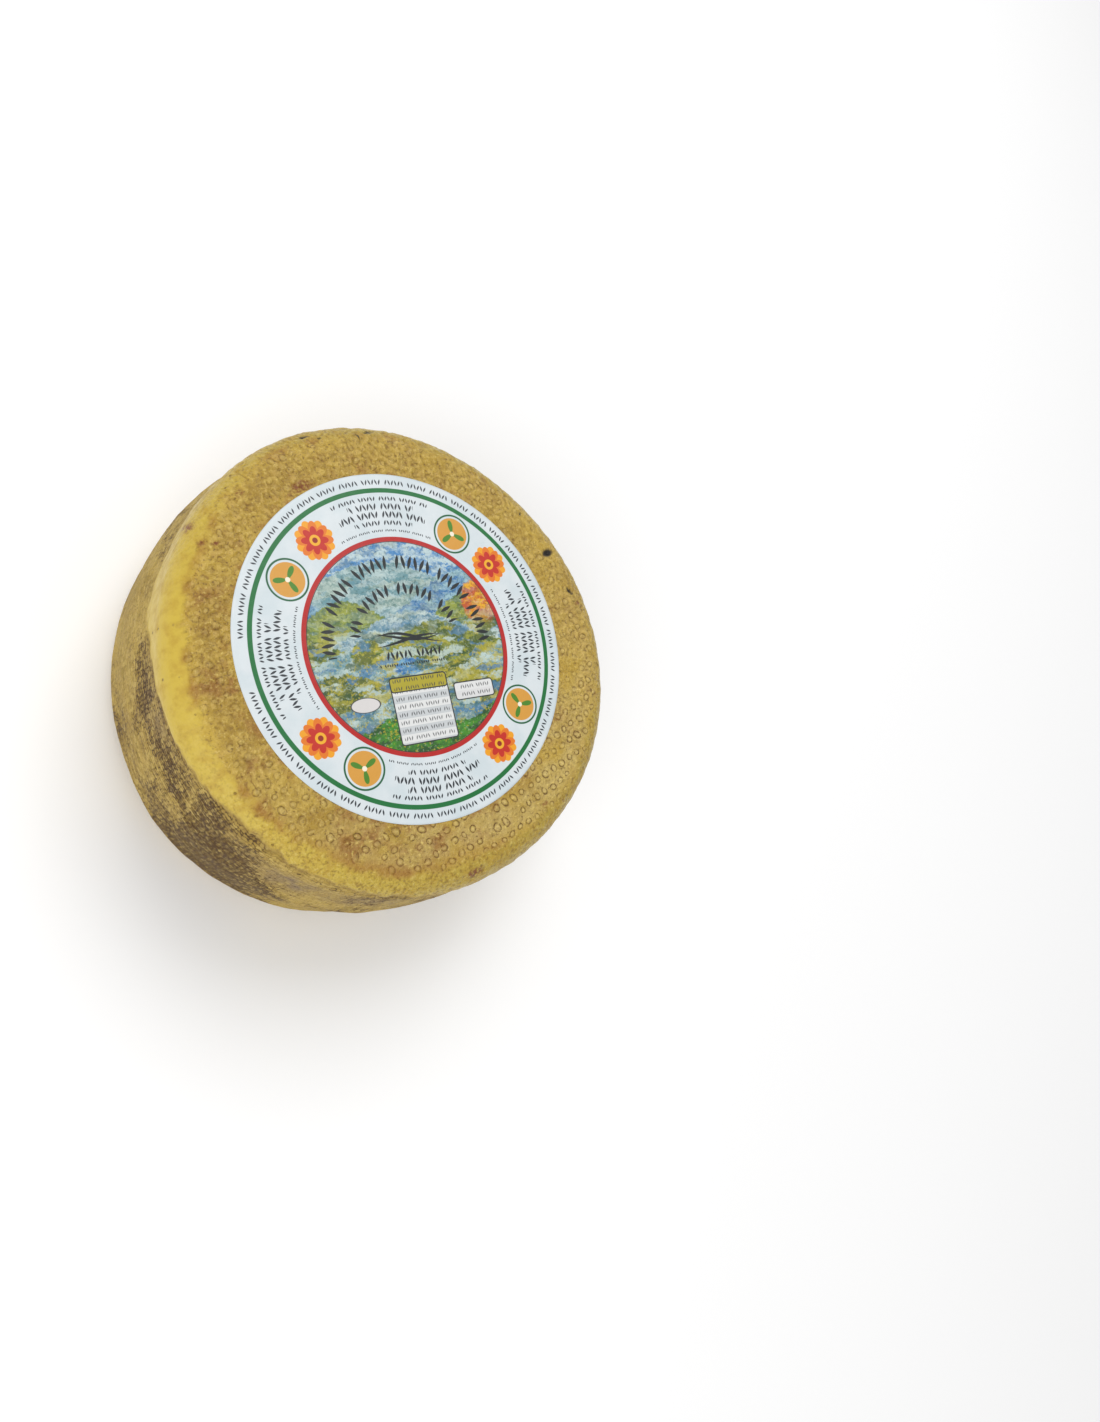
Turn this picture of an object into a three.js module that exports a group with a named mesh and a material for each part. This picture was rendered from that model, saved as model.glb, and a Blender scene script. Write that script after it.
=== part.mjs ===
// A whole wheel of aged sheep's-milk cheese, with a round paper label stuck on its upper face.
//
// The wheel is one piece: a flat face to rest on, a barrel-shaped side between two rounded edges,
// and a flat upper face. The label is a thin disc of food paper, stuck down a little off the middle,
// as a label laid on by hand is.
//
// Millimetres, +Z up. The origin is the middle of the face that the wheel rests on.

import * as THREE from "three";

// ---- Driving dimensions ----

const wheelDiameter = 200; // at the widest part of the side
const wheelHeight = 87;
const upperEdgeRadius = 14;
const lowerEdgeRadius = 12;
const sideBulge = 2.5; // how far the side swells past its two ends

const labelMargin = 13; // flat rind left bare around the label, so that no part of it hangs over
const labelThickness = 0.2;
const labelOffset = { x: -0.6, y: 2.9 }; // the label's middle, from the wheel's axis

// ---- How finely curves are cut ----

const wheelSteps = 96; // around the wheel
const labelSteps = 96; // around the label
const edgeSteps = 8; // over each rounded edge
const sideSteps = 10; // up the side

// ---- Places that follow from the dimensions ----

const sideRadius = wheelDiameter / 2 - sideBulge; // where the side meets each rounded edge
const upperFaceRadius = sideRadius - upperEdgeRadius; // of the flat part of the upper face
const labelRadius = upperFaceRadius - labelMargin;

// A quarter circle of the profile, from startAngle to startAngle + 90 degrees about its centre.
function quarterArc(centreRadius, centreHeight, radius, startAngle) {
  return Array.from({ length: edgeSteps + 1 }, (_, step) => {
    const angle = startAngle + (step / edgeSteps) * (Math.PI / 2);
    return new THREE.Vector2(
      centreRadius + radius * Math.cos(angle),
      centreHeight + radius * Math.sin(angle),
    );
  });
}

// The side between the rounded edges: a sine squared, so that it leaves both edges upright.
function sideCurve(fromHeight, toHeight) {
  return Array.from({ length: sideSteps - 1 }, (_, index) => {
    const share = (index + 1) / sideSteps;
    return new THREE.Vector2(
      sideRadius + sideBulge * Math.sin(Math.PI * share) ** 2,
      fromHeight + (toHeight - fromHeight) * share,
    );
  });
}

// Turned about +Z: LatheGeometry turns its profile about +Y, so the result is stood up.
function turned(profile, steps) {
  return new THREE.LatheGeometry(profile, steps).rotateX(Math.PI / 2);
}

function cheeseGeometry() {
  const sideBottom = lowerEdgeRadius;
  const sideTop = wheelHeight - upperEdgeRadius;
  const profile = [
    new THREE.Vector2(0, 0),
    ...quarterArc(sideRadius - lowerEdgeRadius, sideBottom, lowerEdgeRadius, -Math.PI / 2),
    ...sideCurve(sideBottom, sideTop),
    ...quarterArc(upperFaceRadius, sideTop, upperEdgeRadius, 0),
    new THREE.Vector2(0, wheelHeight),
  ];
  return turned(profile, wheelSteps);
}

function labelGeometry() {
  const profile = [
    new THREE.Vector2(0, 0),
    new THREE.Vector2(labelRadius, 0),
    new THREE.Vector2(labelRadius, labelThickness),
    new THREE.Vector2(0, labelThickness),
  ];
  return turned(profile, labelSteps);
}

// ---- The two pieces ----

const rind = new THREE.MeshStandardMaterial({ color: 0xb8963f, roughness: 0.55, metalness: 0 });
const paper = new THREE.MeshStandardMaterial({ color: 0xdfe5ea, roughness: 0.4, metalness: 0 });

const cheese = new THREE.Mesh(cheeseGeometry(), rind);
cheese.name = "cheese_wheel";

const label = new THREE.Mesh(labelGeometry(), paper);
label.name = "paper_label";
label.position.set(labelOffset.x, labelOffset.y, wheelHeight);

const part = new THREE.Group();
part.add(cheese, label);

export default part;
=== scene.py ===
"""A whole wheel of aged sheep's-milk cheese, lying flat, with a round printed label on its upper face.

The rind is one closed surface, worked out from a profile that runs from the middle of the upper
face over the rounded edge, down the side and under to the middle of the lower face. The mould's
nubs are on both faces, the cloth's net is on the side, and a smooth band lies between them.
Shapes are worked out in millimetres, and the meshes are made in metres.
"""

import math
from functools import partial

import bpy
import numpy as np
from mathutils import Matrix, Vector


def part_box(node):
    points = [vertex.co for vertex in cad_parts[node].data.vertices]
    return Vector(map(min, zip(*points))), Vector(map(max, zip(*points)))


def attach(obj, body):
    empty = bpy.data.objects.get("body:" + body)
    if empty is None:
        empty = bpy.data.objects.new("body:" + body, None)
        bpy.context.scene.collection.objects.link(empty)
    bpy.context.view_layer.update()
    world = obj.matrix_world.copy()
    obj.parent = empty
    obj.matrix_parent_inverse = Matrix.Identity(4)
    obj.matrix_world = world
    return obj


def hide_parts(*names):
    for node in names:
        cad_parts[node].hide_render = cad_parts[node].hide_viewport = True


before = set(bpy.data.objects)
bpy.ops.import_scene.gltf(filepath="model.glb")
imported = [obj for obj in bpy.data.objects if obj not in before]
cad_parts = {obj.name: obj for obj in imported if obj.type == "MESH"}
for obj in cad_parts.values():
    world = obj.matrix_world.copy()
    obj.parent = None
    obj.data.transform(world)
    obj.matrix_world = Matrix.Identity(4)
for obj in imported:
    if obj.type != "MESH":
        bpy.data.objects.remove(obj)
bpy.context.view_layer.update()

MM = 0.001

# ---- Sizes and places from the frame, in millimetres ----

wheel_low, wheel_high = (np.array(corner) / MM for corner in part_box("cheese_wheel"))
label_low, label_high = (np.array(corner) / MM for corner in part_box("paper_label"))
WHEEL_RADIUS = (wheel_high[0] - wheel_low[0]) / 2
WHEEL_HEIGHT = wheel_high[2]
LABEL_RADIUS = (label_high[0] - label_low[0]) / 2
LABEL_THICKNESS = label_high[2] - label_low[2]
LABEL_X, LABEL_Y = (label_low[:2] + label_high[:2]) / 2
PRINT_TURN = math.radians(-7)  # the label was laid on by hand, not quite straight

# ---- The wheel's own shape ----

FACE_SINK = 0.3  # the face between the nubs lies this far below the CAD face, to leave them room
EDGE_RADIUS = {"upper": 12.5, "lower": 12.0}
SIDE_SWELL = 2.3  # the side's belly
SIDE_INSET = 1.8  # the foot of the side lies this far inside the widest part
SIDE_SPREAD = 2.4  # the wheel settled as it aged: its foot is this much wider than its top
LOBES = 0.012  # three shallow lobes from turning and stacking, as a share of the radius
LOBE_ANGLE = math.radians(97)

# ---- The marks that the mould and the cloth left ----

NUB_PITCH = (4.75, 5.7)  # the mould's holes, along and across their rows
NUB_TURN = math.radians(13)
NUB_RADIUS = 1.12
NUB_SHARES = (0.85, 0.35)  # the smallest nub's share of that radius, and what chance adds to it
NUB_LEAST = (0.06, 0.16)  # cells whose chance is below these have no nub, or a fainter one
MOAT_PLACE = 1.12  # the moat's middle, as a share of its nub's radius
NET_CELLS = 300  # meshes of the cloth's net around the wheel, about 2 mm each
NET_PITCH = 1.5
CELL_WAVE = (12.9898, 78.233)  # the sine of a cell's column and row times these, scaled up by
CELL_SCALE = 43.7  # this, has a fraction that looks like chance

# ---- How far the relief stands up or goes in ----

LUMP_HEIGHT = 0.45
SMALL_LUMP_HEIGHT = 0.2
CURD_HEIGHT = 0.45  # from the creases to the tops of the crumbs, where the curd is roughest
NUB_HEIGHT = 0.45
MOAT_DEPTH = 0.3
BAND_HEIGHT = 0.3
BAND_ROUGHNESS = 0.22
CREASE_DEPTH = 0.5
UNDER_LABEL_HEIGHT = 0.15  # the smooth face under the label

LABEL_LIFT = 0.17  # how far the paper lies over the face between the nubs
LABEL_NUBS = 0.09  # how far the nubs press up through the paper
LABEL_WAVES = 0.07
RIM_LIFT = 0.2  # how far the paper's rim lifts at most

# ---- The smooth band over the upper edge ----
# It lies where the lid of the mould met its wall. Each pair is an angle around the wheel, in
# degrees, and how far down the surface from the upper face's rim the band starts or ends there.

BAND_STARTS = ((0, 8), (60, 6), (115, 8.5), (135, 7), (175, 5), (207, 5), (225, 3), (245, 4.5),
               (270, 2), (285, 3.5), (360, 8))
BAND_ENDS = ((0, 19), (90, 22), (155, 29), (173, 21), (190, 15.5), (208, 10.5), (225, 11.5),
             (250, 14.5), (300, 19), (360, 19))

# ---- Small marks on the upper face ----
# x and y of the middle, half length, half width, the way it lies in degrees, and a pit's depth.

PITS = ((80.0, 27.2, 3.0, 2.0, 11, 1.3), (72.5, 46.5, 0.9, 0.6, 40, 0.5), (84.5, 8.2, 2.3, 0.85, -54, 0.6),
        (14.0, 91.0, 2.2, 0.7, 10, 0.5), (-8.5, 90.6, 0.8, 0.6, 0, 0.4), (-13.9, 92.3, 1.9, 0.6, 8, 0.4),
        (8.1, 89.6, 1.6, 0.4, 95, 0.3))
CRUSTS = ((-47.6, 73.1, 1.9, 1.2, 60), (-67.9, 65.9, 3.0, 1.8, 100), (-67.0, 57.4, 1.8, 1.2, 20),
          (-62.6, 56.2, 1.3, 1.0, 0), (46.1, -76.5, 1.2, 1.0, 0), (86.8, 2.2, 1.2, 1.0, 0),
          (-4.4, -89.6, 3.6, 1.4, 5), (-22.9, 72.8, 4.5, 2.2, 15), (36.1, -75.2, 1.2, 0.8, 30))
MARKS_REACH = 17  # none is further than this down the surface from the upper face's rim

# ---- Where around the wheel other marks are: the middle and half width in degrees ----

SATINY = (165, 40)  # the band is smoothest
RINGED = (274, 62)  # the nubs stand out most
DRY = (243, 26)  # the band's inner edge is crusted
BROWNED = (250, 25)  # the face inside the band is stained
YELLOWEST = 185  # the middle of the yellower half
CREASED = 195  # the middle of the crease under the band

# ---- Patches on the side ----
# How strong, the middle's angle, half width in degrees, the middle's height and half height.

GRIME = ((1.9, 211, 13, 28, 38), (0.25, 179, 13, 56, 22), (-0.5, 240, 14, 45, 50), (-0.8, 152, 13, 40, 40))
MAUVE = ((1.0, 224, 8, 66, 9), (0.9, 244, 9, 66, 8), (0.6, 176, 9, 66, 9), (0.8, 20, 12, 55, 12),
         (0.8, 330, 9, 50, 10), (0.7, 100, 12, 30, 12))


# ---------------------------------------------------------------------------------------------
# Working out surfaces
# ---------------------------------------------------------------------------------------------


def smooth(value, start, end):
    """0 before start and 1 after end, along the curve 3t^2 - 2t^3 between them."""
    share = np.clip((value - start) / (end - start), 0, 1)
    return share * share * (3 - 2 * share)


def noise(points, size, seed):
    """Smooth noise of about -1 to 1 in blobs of this size: each corner of a grid of cubes has a
    random slope, and the eight corners' planes are blended by the curve 6t^5 - 15t^4 + 10t^3."""
    random = np.random.default_rng(seed)
    order = random.permutation(256)
    slopes = random.normal(size=(256, 3))
    slopes /= np.linalg.norm(slopes, axis=1, keepdims=True)
    cell = np.floor(points / size).astype(int)
    within = points / size - cell
    fade = within**3 * (within * (within * 6 - 15) + 10)
    total = np.zeros(len(points))
    for corner in np.ndindex(2, 2, 2):
        x, y, z = ((cell + corner) & 255).T
        slope = slopes[order[(order[(order[x] + y) & 255] + z) & 255]]
        plane = ((within - corner) * slope).sum(axis=1)
        total += plane * np.where(corner, fade, 1 - fade).prod(axis=1)
    return 1.7 * total


def layered_noise(points, size, seed, layers=3):
    """Noise at this size, and at half of it half as strong, and so on."""
    return sum(noise(points, size / 2**k, seed + k) / 2**k for k in range(layers))


def billows(points, size, seed):
    """Rounded lumps with creases between them, 0 in a crease and 1 on top: the size of the
    noise, whatever its sign."""
    return np.clip(2.2 * np.abs(noise(points, size, seed)), 0, 1)


def bell(value, middle, spread):
    """A bell curve, 1 in the middle."""
    return np.exp(-(((value - middle) / spread) ** 2))


def turned_by(angle, middle):
    """How far an angle is past a middle given in degrees, in degrees, -180 to 180."""
    return np.degrees(np.angle(np.exp(1j * (angle - math.radians(middle)))))


def facing(angle, middle, spread):
    """A bell curve around the wheel, from its middle and spread in degrees."""
    return bell(turned_by(angle, middle), 0, spread)


def bridge(inner, outer):
    """Faces between two rings of vertex numbers, both running anticlockwise as seen from the
    side that the faces look to, from the inner ring to the outer. A ring may have as many
    vertices as the other, twice as many or half as many."""
    inner_next, outer_next = np.roll(inner, -1), np.roll(outer, -1)
    if len(inner) == len(outer):
        return [np.stack([inner, outer, outer_next, inner_next], axis=1)]
    if len(outer) == 2 * len(inner):
        middle, end = outer[1::2], outer_next[1::2]
        return [np.stack([inner, outer[::2], middle], axis=1),
                np.stack([inner, middle, inner_next], axis=1),
                np.stack([inner_next, middle, end], axis=1)]
    middle, end = inner[1::2], inner_next[1::2]
    return [np.stack([inner[::2], outer, middle], axis=1),
            np.stack([middle, outer, outer_next], axis=1),
            np.stack([middle, outer_next, end], axis=1)]


def turned_faces(counts):
    """Faces of a closed turned surface whose rows have these many vertices, 1 at each end."""
    starts = np.concatenate([[0], np.cumsum(counts)])
    rings = [start + np.arange(count) for start, count in zip(starts, counts)]
    first, last = np.zeros_like(rings[1]), np.full_like(rings[-2], starts[-2])
    faces = [np.stack([first, rings[1], np.roll(rings[1], -1)], axis=1)]
    for inner, outer in zip(rings[1:-2], rings[2:-1]):
        faces += bridge(inner, outer)
    return faces + [np.stack([rings[-2], last, np.roll(rings[-2], -1)], axis=1)]


def around(counts):
    """The angle of each vertex of such a surface."""
    return np.concatenate([np.arange(count) * (2 * math.pi / count) for count in counts])


def make_piece(name, points, faces, maps=None, amounts=None):
    """A smooth-shaded object from points in millimetres, with UV maps and point attributes.
    A map's first value runs around the piece where it comes with a turn, its value at a full
    turn, so that faces over the seam don't run backwards."""
    mesh = bpy.data.meshes.new(name)
    corners = [row for block in faces for row in block.tolist()]
    mesh.from_pydata(points * MM, [], corners)
    mesh.shade_smooth()
    for label, (u, v, turn) in (maps or {}).items():
        blocks = []
        for block in faces:
            across = u[block]
            if turn:
                across = across + turn * (across < across.max(axis=1, keepdims=True) - turn / 2)
            blocks.append(np.stack([across, v[block]], axis=2).reshape(-1, 2))
        layer = mesh.uv_layers.new(name=label)
        layer.data.foreach_set("uv", np.concatenate(blocks).astype(np.float32).ravel())
    for label, values in (amounts or {}).items():
        layer = mesh.attributes.new(label, "FLOAT", "POINT")
        layer.data.foreach_set("value", np.asarray(values, np.float32))
    piece = bpy.data.objects.new(name, mesh)
    bpy.context.scene.collection.objects.link(piece)
    return piece


# ---------------------------------------------------------------------------------------------
# Relief
# ---------------------------------------------------------------------------------------------


def nub_lattice(x, y):
    """Where a point lies in the mould's rows of holes, counted in holes. The rows wander by up to
    a quarter of a pitch, because the curd shrank unevenly."""
    flat = np.stack([x, y, np.zeros_like(x)], axis=1)
    along_row = x * math.cos(NUB_TURN) + y * math.sin(NUB_TURN)
    across_rows = y * math.cos(NUB_TURN) - x * math.sin(NUB_TURN)
    u = along_row / NUB_PITCH[0] + 0.24 * noise(flat, 9, 11)
    v = across_rows / NUB_PITCH[1] + 0.24 * noise(flat, 9, 12)
    return u, v


def cell_chance(u, v):
    """A number from 0 to 1 that is the same all over a cell: the fraction of a large sine."""
    wave = np.sin(CELL_WAVE[0] * np.floor(u) + CELL_WAVE[1] * np.floor(v))
    return np.mod(CELL_SCALE * wave, 1)


def nub_relief(u, v):
    """A dome in each cell, 1 - q^2, in a moat that is a bell curve around its foot, with q the
    distance from the cell's middle over the nub's radius. Nubs differ in size by a sixth either
    way, and a few are missing."""
    chance = cell_chance(u, v)
    q = np.hypot((u % 1 - 0.5) * NUB_PITCH[0], (v % 1 - 0.5) * NUB_PITCH[1])
    q = q / (NUB_RADIUS * (NUB_SHARES[0] + NUB_SHARES[1] * chance))
    dome = np.clip(1 - q * q, 0, 1)
    moat = bell(q, MOAT_PLACE, 0.26)
    return smooth(chance, *NUB_LEAST) * (NUB_HEIGHT * dome - MOAT_DEPTH * moat)


def mark_distance(x, y, mark):
    """How far out a point is in a mark: 0 in the middle and 1 on the ellipse around it."""
    middle_x, middle_y, half_length, half_width, lie = mark[:5]
    turn = math.radians(lie)
    past_x, past_y = x - middle_x, y - middle_y
    lengthwise = past_x * math.cos(turn) + past_y * math.sin(turn)
    sideways = past_y * math.cos(turn) - past_x * math.sin(turn)
    return np.hypot(lengthwise / half_length, sideways / half_width)


# ---------------------------------------------------------------------------------------------
# The rind
# ---------------------------------------------------------------------------------------------


def flat_rows(radii, height, up):
    """Rows on a flat face: radius and height, and the way the surface looks."""
    radii = np.asarray(radii, float)
    return np.stack([radii, np.full_like(radii, height)], axis=1), np.tile([0.0, up], (len(radii), 1))


def arc_rows(middle_radius, middle_height, radius, start, end, count):
    """Rows over a rounded edge."""
    angle = np.linspace(start, end, count)
    look = np.stack([np.cos(angle), np.sin(angle)], axis=1)
    return np.array([middle_radius, middle_height]) + radius * look, look


def side_rows(foot, low, high, count):
    """Rows down the side: a straight slope plus a belly, a sine squared."""
    share = np.arange(1, count) / count
    radius = foot - SIDE_SPREAD * (1 - share) + SIDE_SWELL * np.sin(math.pi * share) ** 2
    places = np.stack([radius, high + (low - high) * share], axis=1)
    return places, np.tile([1.0, 0.0], (count - 1, 1))


def rind_rows():
    """The rind's profile, as rows from the upper face's middle to the lower face's: radius and
    height, the way the surface looks, how many vertices the row has and its length along the
    profile from the upper face's rim."""
    foot = WHEEL_RADIUS - SIDE_INSET
    top = WHEEL_HEIGHT - FACE_SINK
    upper, lower = EDGE_RADIUS["upper"], EDGE_RADIUS["lower"]
    rim = foot - SIDE_SPREAD - upper
    covered = LABEL_RADIUS - 4.5
    stretches = (  # the rows of each stretch, and how many vertices each row has
        (flat_rows([0], top, 1), [1]),
        (flat_rows([8, 16, 26, 36, 46, 57, covered], top, 1), [64, 128, 256, 256, 512, 512, 1024]),
        (flat_rows(np.arange(covered + 0.5, rim - 0.2, 0.52), top, 1), [1024]),
        (arc_rows(rim, top - upper, upper, math.pi / 2, 0, 23), [1024] * 9 + [512] * 14),
        (side_rows(foot, lower, top - upper, 46), [512]),
        (arc_rows(foot - lower, lower, lower, 0, -math.pi / 2, 15), [512]),
        (flat_rows(np.arange(foot - lower - 1.2, 71, -1.2), 0, -1), [512]),
        (flat_rows(np.arange(71, 28, -1.35), 0, -1), [256]),
        (flat_rows(np.arange(28, 12, -1.4), 0, -1), [128]),
        (flat_rows([10.5, 8.5, 6.5, 4.5, 2.5], 0, -1), [64]),
        (flat_rows([0], 0, -1), [1]))
    places = np.concatenate([rows[0] for rows, count in stretches])
    looks = np.concatenate([rows[1] for rows, count in stretches])
    counts = np.concatenate([np.resize(count, len(rows[0])) for rows, count in stretches])
    steps = np.hypot(*np.diff(places, axis=0).T)
    return places, looks, counts, np.concatenate([[0], np.cumsum(steps)]) - rim


def patches(angle, height, places):
    """Soft round patches on the side, added up: each is a bell curve around it times one up it."""
    return sum(amount * facing(angle, middle, spread) * bell(height, level, rise)
               for amount, middle, spread, level, rise in places)


def band_place(angle, length, wander, ragged):
    """How far a point is past the start of the smooth band and past its end, in millimetres.
    Both edges wander, and the inner one is ragged where curd was squeezed up past the lid."""
    degrees = np.degrees(angle)
    start = np.interp(degrees, *zip(*BAND_STARTS)) + 1.3 * wander + 2.2 * ragged
    end = np.interp(degrees, *zip(*BAND_ENDS)) + 2.2 * wander + 1.2 * ragged
    return length - start, length - end


def side_marks(at, angle, side, ragged):
    """The side, its net, and the dirt and old mould on it: soft patches, broken up by noise."""
    z = at[:, 2]
    grime = 0.7 * layered_noise(at, 25, 24) + 0.5 * layered_noise(at, 6, 25) + patches(angle, z, GRIME)
    mauve = patches(angle, z, MAUVE) * (0.8 + 0.6 * ragged)
    return {
        "net": side * smooth(z, 5, 13),
        "side": side,
        "grime": side * smooth(z, 3, 12) * smooth(grime, -0.5, 1.1),
        "mauve": side * np.clip(mauve, 0, 1),
    }


def small_marks(at, length, ragged):
    """Pits and dark crusts on the upper face and its edge: each is an ellipse with a ragged rim."""
    x, y, _ = at.T
    pits = sum(1 - smooth(mark_distance(x, y, mark) + 0.25 * ragged, 0.75, 1.15) for mark in PITS)
    crusts = sum(1 - smooth(mark_distance(x, y, mark) + 0.5 * ragged, 0.5, 1.4) for mark in CRUSTS)
    above_side = 1 - smooth(length, MARKS_REACH, MARKS_REACH + 3)
    return {"pits": np.clip(pits, 0, 1) * above_side, "crusts": np.clip(crusts, 0, 1) * above_side}


def rind_amounts(at, angle, length, away):
    """How much of each mark lies at each point: nubs, crumbs and curd, band, and stains, with
    those of side_marks and small_marks. Each is a place on the wheel, softened and broken up by
    noise. length runs down the surface from the upper face's rim, and away is how far a point is
    outside the label."""
    z = at[:, 2]
    upper_half = z > WHEEL_HEIGHT / 2
    wander = layered_noise(at, 26, 21)
    ragged = layered_noise(at, 7, 22)
    patchy = layered_noise(at, 17, 23)
    left = 0.5 + 0.5 * np.cos(angle - math.radians(YELLOWEST))
    ringed = facing(angle, *RINGED)
    past_start, past_end = band_place(angle, length, wander, ragged)
    off_face = smooth(past_start, -2.4, 1.6)
    side = smooth(past_end, -0.8, 2)
    band = off_face * (1 - side)
    satiny = facing(angle, *SATINY)
    fade = 1 - 0.85 * off_face
    nubs = np.where(upper_half, fade * (0.3 + 0.7 * ringed + 0.4 * patchy), 0.8 * (z < 3))
    crumbs = smooth(patchy + 0.9 - 1.1 * ringed, 0.1, 0.8) * (1 - side)
    crumbs *= 1 - band * (0.35 + 0.65 * satiny)
    fringe = bell(past_start + ragged, -0.8, 1.6) * smooth(patchy + 0.5 * ragged, -0.4, 0.6) * left
    dry = facing(angle, *DRY)
    fringe += 0.8 * dry * bell(past_start + ragged, -2.0, 2.2)
    along_crease = turned_by(angle, CREASED)
    crease = bell(past_end, 1.2 + ragged, 0.9)
    crease *= smooth(along_crease, -40, -20) * (1 - smooth(along_crease, 45, 75))
    halo = bell(away, 0, 4.0) * (0.35 + 0.65 * left)
    brown = halo * smooth(ragged, -0.4, 0.5)
    brown += 0.6 * facing(angle, *BROWNED) * bell(length, -6, 7)
    brown += smooth(patchy + 0.5 * ragged, 0.0, 1.1) * (0.25 + 0.75 * left)
    return {
        "nubs": np.clip(nubs, 0, 1),
        "crumbs": np.clip(crumbs, 0, 1) * upper_half,
        "curd": billows(at, 3.0, 34),
        "band": band,
        "satiny": satiny * band,
        "left": left,
        "pale": smooth(patchy, -0.8, 0.3) * np.clip(ringed + 0.25 * (1 - left), 0, 1),
        "golden": smooth(past_start + 2 * ragged, -8, 1) * (0.3 + 0.7 * left) * (1 - 0.6 * dry),
        "crease": np.clip(crease * (0.7 + 0.8 * wander), 0, 1),
        "brown": np.clip(brown * (1 - off_face), 0, 1),
        "fringe": np.clip(fringe, 0, 1),
        **side_marks(at, angle, side, ragged),
        **small_marks(at, length, ragged),
    }


def pit_depth(x, y):
    """How deep the small marks go: a bell curve in each."""
    return sum(mark[5] * bell(mark_distance(x, y, mark), 0, 0.9) for mark in PITS)


def rind_shape():
    """The rind's points: the profile turned about Z, made three-lobed, then moved along the way
    it looks by the sum of the lumps, crumbs, nubs, band, crease and pits."""
    places, looks, counts, lengths = rind_rows()
    angle = around(counts)
    rho, z = np.repeat(places, counts, axis=0).T
    look_out, look_up = np.repeat(looks, counts, axis=0).T
    reach = np.repeat(lengths, counts)
    rho = rho * (1 + LOBES * np.cos(3 * (angle - LOBE_ANGLE)))
    x, y = rho * np.cos(angle), rho * np.sin(angle)
    at = np.stack([x, y, z], axis=1)
    upper_half = z > WHEEL_HEIGHT / 2
    away = np.where(upper_half, np.hypot(x - LABEL_X, y - LABEL_Y) - LABEL_RADIUS, 99)
    amounts = rind_amounts(at, angle, reach, away)
    bare = smooth(away, -0.5, 1.5)
    nub_u, nub_v = nub_lattice(x, y)
    lumps = LUMP_HEIGHT * layered_noise(at, 38, 31) + SMALL_LUMP_HEIGHT * layered_noise(at, 9, 32)
    # Lumps are full on the side, slight on the upper face and none on the lower one.
    push = (0.25 + 0.75 * amounts["side"]) * lumps * (1 - smooth(-look_up, 0.3, 0.9))
    push *= np.where(look_up > 0.999, 0.4, 1)
    push += CURD_HEIGHT * bare * amounts["crumbs"] * (amounts["curd"] - 0.45)
    push += bare * amounts["nubs"] * nub_relief(nub_u, nub_v)
    push += UNDER_LABEL_HEIGHT * (1 - bare)
    push += BAND_ROUGHNESS * layered_noise(at, 4, 33) * (amounts["band"] - 0.85 * amounts["satiny"])
    push += BAND_HEIGHT * amounts["band"] - CREASE_DEPTH * amounts["crease"]
    push -= (reach < MARKS_REACH) * pit_depth(x, y)
    out = push * look_out
    points = np.stack([x + out * np.cos(angle), y + out * np.sin(angle), z + push * look_up], axis=1)
    points[:, 2] = np.maximum(points[:, 2], 0)
    net_u = angle / (2 * math.pi) * NET_CELLS
    maps = {"nub_rows": (nub_u, nub_v, 0), "net_rows": (net_u, reach / NET_PITCH, NET_CELLS)}
    return points, turned_faces(counts), maps, amounts


# ---------------------------------------------------------------------------------------------
# The label
# ---------------------------------------------------------------------------------------------


def label_shape():
    """A disc of paper: rings out to the rim on top, the cut edge, and rings back underneath.
    Both sides follow the same low waves, the nubs pressed through it and a rim that lifts a
    little here and there."""
    half = LABEL_THICKNESS / 2
    stretches = (  # radii, how many vertices each ring has, and the height over the middle of the paper
        ([0], 1, half),
        (np.arange(1.5, 10, 1.1), 64, half),
        (np.arange(10.5, 20, 1.1), 128, half),
        (np.arange(20.5, 41, 1.0), 256, half),
        (np.arange(41.5, LABEL_RADIUS - 0.2, 1.0), 512, half),
        ([LABEL_RADIUS - 0.05], 512, half),
        ([LABEL_RADIUS], 512, 0),
        ([LABEL_RADIUS - 0.05, 66], 512, -half),
        ([60, 48], 256, -half),
        ([36, 24], 128, -half),
        ([12], 64, -half),
        ([0], 1, -half))
    radii = np.concatenate([rings for rings, count, lift in stretches])
    counts = np.concatenate([np.full(len(rings), count) for rings, count, lift in stretches])
    lifts = np.concatenate([np.full(len(rings), float(lift)) for rings, count, lift in stretches])
    angle = around(counts)
    r = np.repeat(radii, counts) * (1 + 0.0008 * np.sin(5 * angle) + 0.0006 * np.sin(9 * angle + 1))
    x, y = LABEL_X + r * np.cos(angle), LABEL_Y + r * np.sin(angle)
    flat = np.stack([x, y, np.zeros_like(x)], axis=1)
    pressed = LABEL_NUBS * np.clip(nub_relief(*nub_lattice(x, y)), 0, 1)
    waves = LABEL_WAVES * layered_noise(flat, 24, 41)
    lifted = RIM_LIFT * smooth(r, LABEL_RADIUS - 4, LABEL_RADIUS) * smooth(noise(flat, 20, 42), 0.2, 0.8)
    rest = WHEEL_HEIGHT - FACE_SINK + LABEL_LIFT + half
    z = rest + np.repeat(lifts, counts) + pressed + waves + lifted
    return np.stack([x, y, z], axis=1), turned_faces(counts)


# ---------------------------------------------------------------------------------------------
# Materials
# ---------------------------------------------------------------------------------------------

STEP = {"interpolation_type": "SMOOTHSTEP"}  # for a MapRange with soft ends


def linear(hex_colour):
    """An sRGB hex colour as linear red, green, blue and alpha."""
    parts = [int(hex_colour[k:k + 2], 16) / 255 for k in (0, 2, 4)]
    return tuple(c / 12.92 if c <= 0.04045 else ((c + 0.055) / 1.055) ** 2.4 for c in parts) + (1,)


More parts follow.
